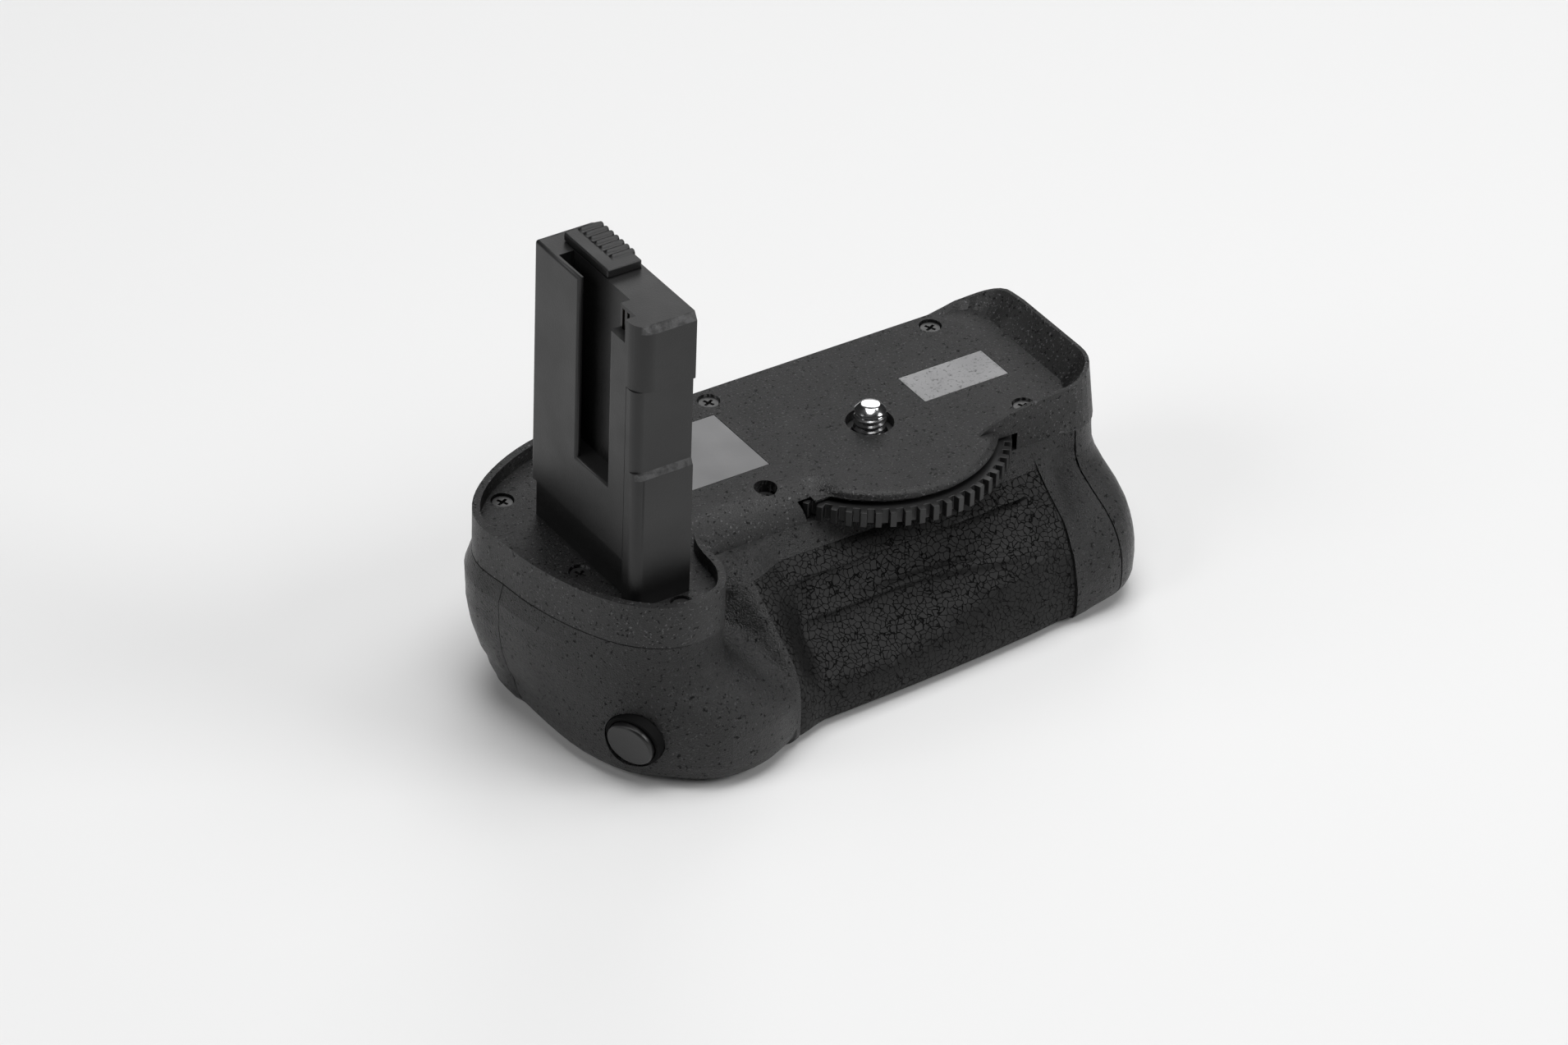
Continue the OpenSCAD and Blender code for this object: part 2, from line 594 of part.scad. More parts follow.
module plate_screws() {
    color(steel_grey)
    for (s = screws)
        translate([s[0], s[1], s[2]])
            difference() {
                union() {
                    translate([0, 0, -head_h])
                        cylinder(r = head_d / 2, h = head_h);
                    translate([0, 0, -head_h - s[3] + 0.6])
                        cylinder(r = shank_d / 2, h = s[3]);
                }
                for (a = [25, 115])
                    rotate([0, 0, a])
                        translate([-1.2, -0.3, -0.8])
                            cube([2.4, 0.6, 1]);
            }
}

module thumbwheel() {
    pitch = 360 / wheel_teeth;
    inner_r = wheel_r - tooth_h;
    color([0.1, 0.1, 0.1])
    difference() {
        union() {
            translate([0, 0, wheel_z0])
                linear_extrude(wheel_t)
                    polygon([for (k = [0 : wheel_teeth - 1])
                        for (q = [[-0.25, inner_r], [-0.22, wheel_r], [0.22, wheel_r], [0.25, inner_r]])
                            q[1] * [cos(pitch * (k + q[0])), sin(pitch * (k + q[0]))]]);
        }
        translate([0, 0, web_z1])
            cylinder(r = wheel_r - 4.5, h = wheel_t);
        translate([0, 0, web_z1 - 1.2])
            cylinder(r = flange_r, h = wheel_t);
        translate([0, 0, wheel_z0 - 1])
            cylinder(r = screw_d / 2, h = wheel_t);
    }
}

flange_r = 6;
neck_r = 2.4;
module tripod_screw() {
    r = screw_d / 2;
    tip = seat_h + screw_out;
    color([0.8, 0.8, 0.82])
        rotate_extrude()
            polygon([[0, wheel_z0], [r, wheel_z0], [r, web_z1 - 1.2], [flange_r, web_z1 - 1.2],
                [flange_r, web_z1], [neck_r, web_z1], [neck_r, seat_h - 0.6], [r, seat_h - 0.2],
                [r, tip - 1], [r - 1, tip], [0, tip]]);
}

module screw_plate() {
    color(steel_grey)
    difference() {
        block([-screw_plate_w / 2, -screw_plate_w / 2, roof_z - screw_plate_t],
            [screw_plate_w / 2, screw_plate_w / 2, roof_z]);
        translate([0, 0, roof_z - 2])
            cylinder(r = screw_d / 2 + 0.425, h = 4);
    }
}

module wheel_washer() {
    color(steel_grey)
    translate([0, 0, ceiling_z + ceiling_t])
        difference() {
            cylinder(r = washer_r, h = wheel_z0 - 0.05 - ceiling_z - ceiling_t);
            translate([0, 0, -1])
                cylinder(r = washer_bore_r, h = 6);
        }
}

module tripod_bush() {
    color([0.6, 0.55, 0.35])
    translate([bush_at[0], bush_at[1], 0])
        difference() {
            union() {
                cylinder(r = bush_r, h = bush_h);
                cylinder(r = bush_r + bush_wall, h = 1.2);
            }
            translate([0, 0, -1])
                cylinder(r = 3.175, h = bush_h + 2);
        }
}

module bay_frame() {
    y0 = bay_y0 + fit;
    y1 = bay_y1 - fit;
    color([0.2, 0.2, 0.2])
    difference() {
        union() {
            block([bay_x0 + fit, y0, ceiling_z], [shell_x, y1, ceiling_z + ceiling_t]);
            block([bay_x0 + fit, y0, floor_t], [bay_x0 + 1.2, y1, ceiling_z + ceiling_t]);
            block([bay_x0 + fit, y0, shelf_z], [shell_x, y1, shelf_z + shelf_t]);
            intersection() {
                bosses(frame_screws, ceiling_z, boss_z, 2);
                block([0, y0, 0], [shell_x, y1, seat_h]);
            }
        }
        screw_holes(frame_screws, ceiling_z + 0.2);
    }
}

module battery_cells() {
    x1 = shell_x - cell_inset;
    y0 = bay_y0 + 0.25;
    color([0.25, 0.26, 0.28])
    for (z = [lower_z, upper_z])
        difference() {
            block([x1 - cell_l, y0, z], [x1, y0 + cell_w, z + cell_t]);
            for (k = [0 : 3])
                block([x1 - cell_l - 1, y0 + 5 + k * 4, z + 4], [x1 - cell_l + 1.2, y0 + 6.6 + k * 4, z + 10]);
        }
}

module bay_contacts() {
    color([0.75, 0.65, 0.35])
    for (z = [lower_z, upper_z])
        for (k = [0 : 3])
            block([bay_x0 + 1.2, bay_y0 + 0.25 + 5.4 + k * 4, z + 4.4],
                [shell_x - cell_inset - cell_l + 1, bay_y0 + 0.25 + 6.2 + k * 4, z + 9.6]);
}

module circuit_board() {
    color([0.1, 0.3, 0.15])
    union() {
        block([board_x0, -10, seam_z - 1.6], [board_x1, 20.5, seam_z]);
        block([board_x0 + 2, -6, seam_z - 3.2], [board_x0 + 10, 2, seam_z - 1.5]);
        block([board_x0 + 7, 10, seam_z - 2.8], [board_x0 + 13, 14, seam_z - 1.5]);
        block([board_x1 - 5, -3, seam_z - 4.6], [board_x1 - 1, 3, seam_z - 1.5]);
    }
}

// Battery door and its hinge at the back edge
hinge_x = door_x + 1.4;
hinge_y = back_y - 1.7;
knuckle_r = 1.35;
// The hinge pin starts above the rounded foot and ends in its seat in the cover
pin_z0 = 5;
pin_seat = 4.8;
door_levels = [-over, 0.3, 0.6, 1.2, 2.2, 3.6, 5, 8, 11, 13, 15, 17, 19, 21, 23, 25, 28, seam_z, seam_z + over];
function door_ring(z) = let(share = lookup(seam_z - z, door_share),
    step = foot_step(z, end_foot_r), step_b = foot_step(z, rear_foot_r),
    seam = concat(arc(end_x - corner_r, corner_r - front_y, corner_r, corner_r, -90, 0, 10),
        arc(end_x - back_r, back_y - back_r, back_r, back_r, 0, 90, 8)),
    bulge = concat(arc(end_cx, end_cy, end_rx - step, end_ry - step, -90, 0, 10),
        arc(end_x + 0.6 - back_r, back_y - back_r, back_r - step_b, back_r - step_b, 0, 90, 8)),
    wall = [for (i = [0 : len(seam) - 1]) mix(seam[i], bulge[i], share)])
    concat([[door_x - over, wall[0][1]]], wall, [[door_x - over, back_y - step_b]]);

module battery_door() {
    color(shell_grey)
    intersection() {
        loft([for (z = door_levels) door_ring(z)], door_levels, 0);
        difference() {
            union() {
                difference() {
                    block([door_x, -60, 0.3], [end_x + 5, back_y + 5, seam_z - door_gap]);
                    block([door_x - 1, bay_y0 + 2, 4], [right_x - 2, back_y - 6, seam_z - 4]);
                    block([door_x - 1, back_y - 3.6, -2], [hinge_x, back_y + 6, seam_z]);
                }
                translate([hinge_x, hinge_y, pin_z0 + 1])
                    cylinder(r = knuckle_r, h = seam_z - door_gap - pin_z0 - 1);
            }
            translate([hinge_x, hinge_y, pin_z0 - 0.5])
                cylinder(r = hinge_pin_r + 0.05, h = seam_z);
            // slot of the latch in the end wall
            block([right_x - 3, latch_y - 3 - fit, latch_z - 4 - fit],
                [end_x + 6, latch_y + 3 + latch_travel + fit, latch_z + 4 + fit]);
        }
    }
}

module door_pin() {
    color(steel_grey)
    translate([hinge_x, hinge_y, pin_z0])
        cylinder(r = hinge_pin_r, h = seam_z + pin_seat - 0.2 - pin_z0);
}

latch_y = -7;
latch_z = 17;
module door_latch() {
    color(shell_grey)
    union() {
        block([right_x - 1.9, latch_y - 3, latch_z - 4], [right_x + 0.2, latch_y + 3, latch_z + 4]);
        block([right_x - 3.2, latch_y - 5, latch_z - 5], [right_x - 2.1, latch_y + 5, latch_z + 5]);
        block([right_x - 2.2, latch_y - 2, latch_z - 3], [right_x - 1.8, latch_y + 2, latch_z + 3]);
        for (k = [-1 : 1])
            translate([right_x + 0.2, latch_y + k * 1.8, latch_z - 3.4])
                cylinder(r = 0.4, h = 6.8, $fn = 16);
    }
}

// Stalk: channel behind the wide face, sliding catch on top, cover on the narrow front
channel_y0 = stalk_y0 + 9.7;
channel_back = channel_w + 8.4;
catch_x0 = channel_d + 0.1 - stalk_x;
catch_x1 = stalk_x1 - 0.7;
catch_y1 = stalk_y1 - 3;
catch_l = 15;
cover_top = seat_h + 47;
cover_y = stalk_y0 + 4;
face_step = 0.7;
foot_h = 9;

module stalk_plan(r) {
    translate([-stalk_x, stalk_y0])
        difference() {
            square([stalk_t, stalk_w]);
            difference() {
                square([r, r]);
                translate([r, r])
                    circle(r = r);
            }
        }
}

module stalk_body() {
    color([0.12, 0.12, 0.125])
    difference() {
        union() {
            translate([0, 0, seat_h])
                linear_extrude(stalk_h)
                    stalk_plan(3.6);
            block([tenon_in - stalk_x, stalk_y0 + tenon_in, roof_z],
                [stalk_x1 - tenon_in, stalk_y1 - tenon_in, seat_h + 1]);
        }
        // recess of the wide face at the foot
        block([-stalk_x - 1, stalk_y0 - 1, seat_h - 0.1], [1.2 - stalk_x, stalk_y1 + 1, seat_h + foot_h]);
        // channel: wide behind the face, with a narrower mouth
        block([1 - stalk_x, channel_y0, stalk_top - channel_h],
            [channel_d - stalk_x, channel_y0 + channel_back, stalk_top + 1]);
        block([-stalk_x - 1, channel_y0, stalk_top - channel_h],
            [channel_d - stalk_x, channel_y0 + channel_w, stalk_top + 1]);
        // seat of the front cover
        block([-stalk_x - 1, stalk_y0 - 1, seat_h - 0.1], [stalk_x1 + 1, cover_y, cover_top]);
        // chamfer over the narrow face
        translate([-stalk_x - 1, 0, 0])
            rotate([90, 0, 90])
                linear_extrude(stalk_t + 2)
                    polygon([[stalk_y0 - 0.9, stalk_top - 3.2], [stalk_y0 + 1.4, stalk_top + 0.8],
                        [stalk_y0 - 0.9, stalk_top + 0.8]]);
        // track of the catch
        block([catch_x0 + 1.4, catch_y1 - catch_l + 1 - fit, stalk_top - 3],
            [catch_x1 - 1.4, catch_y1 - 1 + catch_travel + fit, stalk_top + 1]);
        // recess with the slits of the contacts
        block([-stalk_x - 1, channel_y0 - 5, stalk_top - 5], [2.2 - stalk_x, channel_y0 + 0.1, stalk_top + 1]);
        for (k = [0 : 2])
            block([2.1 - stalk_x, channel_y0 - 4.6 + k * 1.6, stalk_top - 9],
                [4.4 - stalk_x, channel_y0 - 3.8 + k * 1.6, stalk_top - 0.8]);
    }
}

module stalk_contacts() {
    color([0.75, 0.65, 0.35])
    for (k = [0 : 2])
        block([3.2 - stalk_x, channel_y0 - 4.45 + k * 1.6, stalk_top - 9],
            [4.4 - stalk_x, channel_y0 - 3.95 + k * 1.6, stalk_top - 1]);
}

module stalk_cover() {
    r = 2;
    step_z = seat_h + 28;
    step_h = 1.4;
    color([0.12, 0.12, 0.125])
    intersection() {
        union() {
            translate([0, face_step, seat_h])
                linear_extrude(cover_top - seat_h - 0.1)
                    stalk_plan(r);
            difference() {
                translate([0, 0, seat_h])
                    linear_extrude(step_z + step_h - seat_h)
                        stalk_plan(r);
                // sloped step on the narrow face
                translate([-stalk_x - 1, 0, 0])
                    rotate([90, 0, 90])
                        linear_extrude(stalk_t + 2)
                            polygon([[stalk_y0 - face_step, step_z - step_h],
                                [stalk_y0 + face_step + 0.2, step_z + step_h * (1 + 0.2 / face_step)],
                                [stalk_y0 - face_step, step_z + 3 * step_h]]);
            }
        }
        block([-stalk_x - 1, stalk_y0 - 1, seat_h], [stalk_x1, cover_y - 0.1, cover_top]);
    }
}

module stalk_catch() {
    pitch = 1.75;
    color([0.12, 0.12, 0.125])
    union() {
        block([catch_x0, catch_y1 - catch_l, stalk_top + 0.1], [catch_x1, catch_y1, stalk_top + 1.8]);
        block([catch_x0 + 1.4 + fit, catch_y1 - catch_l + 1, stalk_top - 2.8],
            [catch_x1 - 1.4 - fit, catch_y1 - 1, stalk_top + 0.2]);
        for (k = [0 : catch_ribs - 1])
            translate([catch_x1 - 4.4, catch_y1 - 1 - k * pitch, stalk_top + 1.55])
                rotate([0, 90, 0])
                    cylinder(r = 0.68, h = 4.8, $fn = 24);
    }
}

module shutter_button() {
    color([0.1, 0.1, 0.1])
    at_button() {
        translate([0, 0, 0.3])
            cylinder(r = button_r, h = button_out - 0.6);
        translate([0, 0, button_out - 0.3])
            cylinder(r1 = button_r, r2 = button_r - 0.35, h = 0.3);
        translate([0, 0, -3])
            cylinder(r = stem_r, h = 4);
    }
}

module button_ring() {
    color([0.07, 0.07, 0.07])
    at_button()
        difference() {
            translate([0, 0, -ring_deep])
                cylinder(r = ring_r, h = ring_deep + 0.4);
            translate([0, 0, -1])
                cylinder(r = button_r + 0.1, h = 4);
            translate([0, 0, -4])
                cylinder(r = stem_r + 0.1, h = 8);
        }
}

module shutter_switch() {
    color([0.3, 0.3, 0.32])
    at_button()
        union() {
            translate([-3.4, -3.4, -switch_in - 4])
                cube([6.8, 6.8, 4]);
            translate([0, 0, -switch_in - 0.5])
                cylinder(r = 1.6, h = switch_in - 3 - button_travel + 0.3);
        }
}

power_x = -36;
power_z = 18.4;
module power_switch() {
    color([0.1, 0.1, 0.1])
    union() {
        block([power_x - 4, back_y - 1.6, power_z - 1.4], [power_x - 4 + 8 - power_travel, back_y + 0.8, power_z + 1.4]);
        for (k = [0 : 2])
            translate([power_x - 3 + k * 1.2, back_y + 0.8, power_z - 1.2])
                cylinder(r = 0.3, h = 2.4, $fn = 16);
    }
}

module power_slider_board() {
    color([0.1, 0.3, 0.15])
        block([power_x - 7, back_y - 3.6, power_z - 4], [power_x + 7, back_y - 2.1, power_z + 4]);
}

jack_x = -52;
jack_r = 3;
module remote_jack() {
    color([0.08, 0.08, 0.08])
    translate([jack_x, back_y - 10, power_z])
        rotate([-90, 0, 0])
            difference() {
                cylinder(r = jack_r, h = 9.6);
                translate([0, 0, 1.5])
                    cylinder(r = 1.3, h = 10);
            }
}

top_cover();
front_shell();
rear_shell();
rubber_grip();
plate_screws();
thumbwheel();
tripod_screw();
screw_plate();
wheel_washer();
tripod_bush();
bay_frame();
battery_cells();
bay_contacts();
circuit_board();
battery_door();
door_pin();
door_latch();
stalk_body();
stalk_cover();
stalk_contacts();
stalk_catch();
shutter_button();
button_ring();
shutter_switch();
power_switch();
power_slider_board();
remote_jack();
data_label();
rating_label();
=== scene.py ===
"""Looks of a vertical battery grip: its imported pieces, dressed and lit as in the photograph."""

import math

import bmesh
import bpy
from mathutils import Matrix, Vector


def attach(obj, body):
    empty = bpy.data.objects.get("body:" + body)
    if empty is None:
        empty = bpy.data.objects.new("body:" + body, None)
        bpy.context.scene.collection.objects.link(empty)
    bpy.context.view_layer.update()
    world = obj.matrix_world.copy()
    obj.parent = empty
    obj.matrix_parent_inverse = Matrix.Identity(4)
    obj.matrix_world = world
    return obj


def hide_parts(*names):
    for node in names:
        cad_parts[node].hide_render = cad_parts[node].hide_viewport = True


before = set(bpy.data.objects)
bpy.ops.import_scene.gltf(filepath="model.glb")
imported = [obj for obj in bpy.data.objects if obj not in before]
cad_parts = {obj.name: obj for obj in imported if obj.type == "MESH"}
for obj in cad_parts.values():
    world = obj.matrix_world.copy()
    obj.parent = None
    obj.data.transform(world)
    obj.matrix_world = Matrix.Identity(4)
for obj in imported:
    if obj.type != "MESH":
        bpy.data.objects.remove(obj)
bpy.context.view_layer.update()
MM = 0.001
scene = bpy.context.scene

# Front and rear shells: two black glass-filled mouldings with a spark-eroded grain, held by the
# screws of the top cover. The front one swells into the finger bulge round the shutter button, and
# the two meet along a joint down the stalk end.
SEAM_Z = 31  # underside of the top cover
JOINT_Y = -3  # where the two shells meet
BELLY = ((0, -1), (4, -0.6), (8, 0.2), (12, 1.2), (15, 1.2), (24, 0))  # height, how far out
BELLY_CENTRE = (-55, -5)
CHANNEL_LOW, CHANNEL_HIGH = 17.6, 23.6  # creases of the finger channel at its left end


def new_material(name):
    mat = bpy.data.materials.new(name)
    mat.use_nodes = True
    tree = mat.node_tree
    return mat, tree, tree.nodes["Principled BSDF"]


def object_coords(tree, scale=(1, 1, 1)):
    coords = tree.nodes.new("ShaderNodeTexCoord")
    place = tree.nodes.new("ShaderNodeMapping")
    place.inputs["Scale"].default_value = scale
    tree.links.new(coords.outputs["Object"], place.inputs["Vector"])
    return place.outputs["Vector"]


def noise(tree, vector, scale, detail=2, rough=0.5):
    node = tree.nodes.new("ShaderNodeTexNoise")
    node.inputs["Scale"].default_value = scale
    node.inputs["Detail"].default_value = detail
    node.inputs["Roughness"].default_value = rough
    tree.links.new(vector, node.inputs["Vector"])
    return node.outputs["Fac"]


def remap(tree, value, a, b, c, d):
    node = tree.nodes.new("ShaderNodeMapRange")
    for key, number in zip(("From Min", "From Max", "To Min", "To Max"), (a, b, c, d)):
        node.inputs[key].default_value = number
    tree.links.new(value, node.inputs["Value"])
    return node.outputs["Result"]


def bump(tree, shader, height, strength, distance):
    node = tree.nodes.new("ShaderNodeBump")
    node.inputs["Strength"].default_value = strength
    node.inputs["Distance"].default_value = distance
    tree.links.new(height, node.inputs["Height"])
    tree.links.new(node.outputs["Normal"], shader.inputs["Normal"])


def product(tree, a, b):
    node = tree.nodes.new("ShaderNodeMath")
    node.operation = "MULTIPLY"
    tree.links.new(a, node.inputs[0])
    tree.links.new(b, node.inputs[1])
    return node.outputs[0]


def mixed(tree, factor, low, high):
    """Colour between two greys by a factor."""
    node = tree.nodes.new("ShaderNodeMix")
    node.data_type = "RGBA"
    tree.links.new(factor, node.inputs["Factor"])
    node.inputs["A"].default_value = (low, low, low * 1.02, 1)
    node.inputs["B"].default_value = (high, high, high * 1.02, 1)
    return node.outputs["Result"]


def plastic(name, grey, rough, grain=1600, depth=0.00005, spread=0.06, fleck=0.0, fleck_and_glint_grey=None):
    """Moulded plastic: a spark-eroded grain with sparse raised flecks and uneven gloss."""
    mat, tree, shader = new_material(name)
    vector = object_coords(tree)
    shader.inputs["Base Color"].default_value = (grey, grey, grey * 1.02, 1)
    gloss = remap(tree, noise(tree, vector, 120, 4), 0.3, 0.7, rough - spread, rough + spread)
    tree.links.new(gloss, shader.inputs["Roughness"])
    height = noise(tree, vector, grain, 3, 0.6)
    if fleck:
        spots = remap(tree, noise(tree, vector, grain * 0.6, 3, 0.6), 0.60, 0.64, 0.0, fleck)
        add = tree.nodes.new("ShaderNodeMath")
        tree.links.new(height, add.inputs[0])
        tree.links.new(spots, add.inputs[1])
        height = add.outputs[0]
        if fleck_and_glint_grey:
            # The flecks take their own grey: lighter on the dark shells and cover, where it is painted
            # glint of the raised grain; darker on the silver label, its own flecks.
            tree.links.new(mixed(tree, spots, grey, fleck_and_glint_grey), shader.inputs["Base Color"])
        pits = remap(tree, noise(tree, vector, grain * 0.45, 2, 0.5), 0.37, 0.33, 0.5, 0.06)
        tree.links.new(pits, shader.inputs["Specular IOR Level"])
    bump(tree, shader, height, 0.8, depth)
    return mat


def seams(mat, top, joint):
    """Dark gaps in mm: under the cover, and where the front and rear shells meet."""
    tree = mat.node_tree
    level = tree.nodes["Principled BSDF"].inputs["Specular IOR Level"]
    base = level.links[0].from_socket
    split = tree.nodes.new("ShaderNodeSeparateXYZ")
    tree.links.new(object_coords(tree), split.inputs["Vector"])
    off = tree.nodes.new("ShaderNodeMath")
    off.operation = "SUBTRACT"
    off.inputs[1].default_value = joint * MM
    tree.links.new(split.outputs["Y"], off.inputs[0])
    away = tree.nodes.new("ShaderNodeMath")
    away.operation = "ABSOLUTE"
    tree.links.new(off.outputs[0], away.inputs[0])
    under = remap(tree, split.outputs["Z"], (top - 0.24) * MM, (top - 0.2) * MM, 1.0, 0.03)
    beside = remap(tree, away.outputs[0], 0.09 * MM, 0.12 * MM, 0.03, 1.0)
    end = remap(tree, split.outputs["X"], -72 * MM, -58 * MM, 0.0, 1.0)
    lift = tree.nodes.new("ShaderNodeMath")
    lift.operation = "MAXIMUM"
    tree.links.new(under, lift.inputs[0])
    tree.links.new(end, lift.inputs[1])
    tree.links.new(product(tree, product(tree, lift.outputs[0], beside), base), level)


def dressed(node, mat):
    """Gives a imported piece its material."""
    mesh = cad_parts[node].data
    mesh.materials.clear()
    mesh.materials.append(mat)


def cut_rows(bm, axis, low, high, step):
    """Cuts a mesh across in even rows, so that a form can bend it."""
    for i in range(int((high - low) / step) + 1):
        at, normal = [0, 0, 0], [0, 0, 0]
        at[axis], normal[axis] = (low + i * step) * MM, 1
        bmesh.ops.bisect_plane(bm, geom=bm.verts[:] + bm.edges[:] + bm.faces[:], dist=1e-7,
                               plane_co=at, plane_no=normal)


def refined(node, mat, body="housing", soft_deg=30, edge=0.1, segments=2, flat=False,
            form=None, rows=(), rim=None, clamp=True):
    """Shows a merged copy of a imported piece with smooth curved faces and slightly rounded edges."""
    dressed(node, mat)
    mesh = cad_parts[node].data.copy()
    mesh.name = node + "_looks"
    ob = bpy.data.objects.new(node + "_looks", mesh)
    bpy.context.collection.objects.link(ob)
    bm = bmesh.new()
    bm.from_mesh(mesh)
    bmesh.ops.remove_doubles(bm, verts=bm.verts, dist=2e-6)
    bmesh.ops.dissolve_limit(bm, angle_limit=math.radians(0.4), verts=bm.verts, edges=bm.edges)
    if rim:
        rim(bm)
    for row in rows:
        cut_rows(bm, *row)
    if form:
        for v in bm.verts:
            v.co += Vector(form(v.co.x / MM, v.co.y / MM, v.co.z / MM)) * MM
    for f in bm.faces:
        f.smooth = True
    bm.to_mesh(mesh)
    bm.free()
    mesh.set_sharp_from_angle(angle=math.radians(soft_deg))
    if rim:
        for face in mesh.polygons:
            face.use_smooth = face.area < 9 * MM * MM
    if edge:
        rounding = ob.modifiers.new("rounding", "BEVEL")
        rounding.width = edge * MM
        rounding.segments = segments
        rounding.limit_method = "ANGLE"
        rounding.angle_limit = math.radians(soft_deg)
        rounding.miter_outer = "MITER_ARC"
        rounding.use_clamp_overlap = clamp
    if edge or flat:
        normals = ob.modifiers.new("normals", "WEIGHTED_NORMAL")
        normals.keep_sharp = True
        normals.weight = 100
    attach(ob, body)
    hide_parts(node)
    return ob


def ease(t):
    t = min(max(t, 0.0), 1.0)
    return t * t * (3 - 2 * t)


def curve(points, at):
    """A smooth curve through (place, value) pairs."""
    for (a, b), (c, d) in zip(points, points[1:]):
        if at <= c:
            return b + (d - b) * ease((at - a) / (c - a))
    return points[-1][1]


def end_belly(x, y, z):
    """The shells' stalk end: fuller at half height and tucked in at its foot."""
    out = curve(BELLY, z)
    out *= ease((-56 - x) / 12) * ease((y + 22) / 22)
    from_x, from_y = x - BELLY_CENTRE[0], y - BELLY_CENTRE[1]
    reach = math.hypot(from_x, from_y) or 1
    return out * from_x / reach, out * from_y / reach, 0.0


def channel(x, y, z):
    """The finger channel in the rubber: a trough between two firm creases."""
    tilt = 0.023 * (x + 30)
    ends = ease((x + 33) / 9) * ease((23 - x) / 4)
    low, high = CHANNEL_LOW + tilt, CHANNEL_HIGH + tilt
    rise = min(max((z - low) / 5.8, 0), 1)
    trough = ease((z - low) / 0.5) * ease((high - z) / 0.5) * (0.8 + 2.0 * rise)
    lip = math.exp(-((z - low + 0.4) / 0.6) ** 2)
    return 0.0, ends * (trough - 0.5 * lip), 0.0


def front_form(x, y, z):
    """The front shell follows the rubber's channel, inner wall too, and the rear shell's end."""
    dx, dy, dz = end_belly(x, y, z)
    return dx, dy + (channel(x, y, z)[1] if y < -14 else 0.0), dz


# Its flecks are raised grain, painted lighter as glints.
shell_plastic = plastic("shell_plastic", 0.007, 0.34, 3000, 0.0004, fleck=0.9, fleck_and_glint_grey=0.05)
seams(shell_plastic, SEAM_Z, JOINT_Y)
refined("front_shell", shell_plastic, soft_deg=40, edge=0.12, form=front_form,
        rows=((0, -78, -58, 2), (0, -34, 24, 2), (2, 1, 28, 1)))
refined("rear_shell", shell_plastic, soft_deg=40, edge=0.12, form=end_belly,
        rows=((0, -78, -58, 2), (2, 1, 23, 1)))

# Bay for the two cells: a frame of dark grey plastic that hangs from the top cover by two of its
# screws, the wrapped cells lying in it one above the other, and brass contacts at its inner end.


def metal(name, colour, rough, scratch=0.0):
    mat, tree, shader = new_material(name)
    vector = object_coords(tree)
    shader.inputs["Base Color"].default_value = (*colour, 1)
    shader.inputs["Metallic"].default_value = 1.0
    tree.links.new(
        remap(tree, noise(tree, vector, 500, 3), 0.3, 0.7, rough - 0.05, rough + 0.07),
        shader.inputs["Roughness"])
    if scratch:
        bump(tree, shader, noise(tree, vector, 2500, 2), scratch, 0.00002)
    return mat


inner_plastic = plastic("inner_plastic", 0.05, 0.5, 1800, 0.00002)
cell_wrap = plastic("cell_wrap", 0.06, 0.35, 900, 0.00001)
brass = metal("contact_brass", (0.65, 0.5, 0.25), 0.3)
dressed("bay_frame", inner_plastic)
dressed("battery_cells", cell_wrap)
dressed("bay_contacts", brass)

# Electronics: the main circuit board and the small one behind the power switch are green laminate,
# and the switch under the shutter button is a small block of plastic with a plunger.
board_green = plastic("board_green", 0.05, 0.35, 900, 0.00001)
laminate = board_green.node_tree.nodes["Principled BSDF"]
laminate.inputs["Base Color"].default_value = (0.02, 0.11, 0.045, 1)
dressed("circuit_board", board_green)
dressed("power_slider_board", board_green)
dressed("shutter_switch", inner_plastic)

# Tripod bush: a flanged brass bush set in a boss of the base, so that the grip itself can stand on
# a tripod. Its quarter-inch bore is left smooth.
dressed("tripod_bush", brass)

# Battery door: a moulded cap over the far end of the bay. It swings on a steel pin at the back and
# is held shut by a small sliding latch of smoother plastic.
steel = metal("screw_steel", (0.10, 0.10, 0.10), 0.42, 0.2)
trim_plastic = plastic("trim_plastic", 0.008, 0.34, 2600, 0.00002, 0.04)
refined("battery_door", shell_plastic, "door", soft_deg=40, edge=0.12)
dressed("door_pin", steel)
refined("door_latch", trim_plastic, "latch")

# Back panel: a small sliding power switch and the socket of a remote cable, both of smooth black
# plastic, set in openings of the rear shell.
refined("power_switch", trim_plastic, "power")
refined("remote_jack", trim_plastic)

# Shutter button: a smooth flat cap that is pressed along its tilted axis, in a moulded ring. The
# ring is painted nearly black with little gloss: painted shade of the narrow gap round the cap.
ring_painted_shade = plastic("ring_painted_shade", 0.002, 0.7, 1800, 0.00002)
ring_painted_shade.node_tree.nodes["Principled BSDF"].inputs["Specular IOR Level"].default_value = 0.12
refined("shutter_button", trim_plastic, "button")
refined("button_ring", ring_painted_shade)

# Rubber finger grip: a moulded sheet of black rubber with a leather grain, glued into the front
# shell. A channel for the fingers runs along it between two creases, up to 2.8 mm deep.


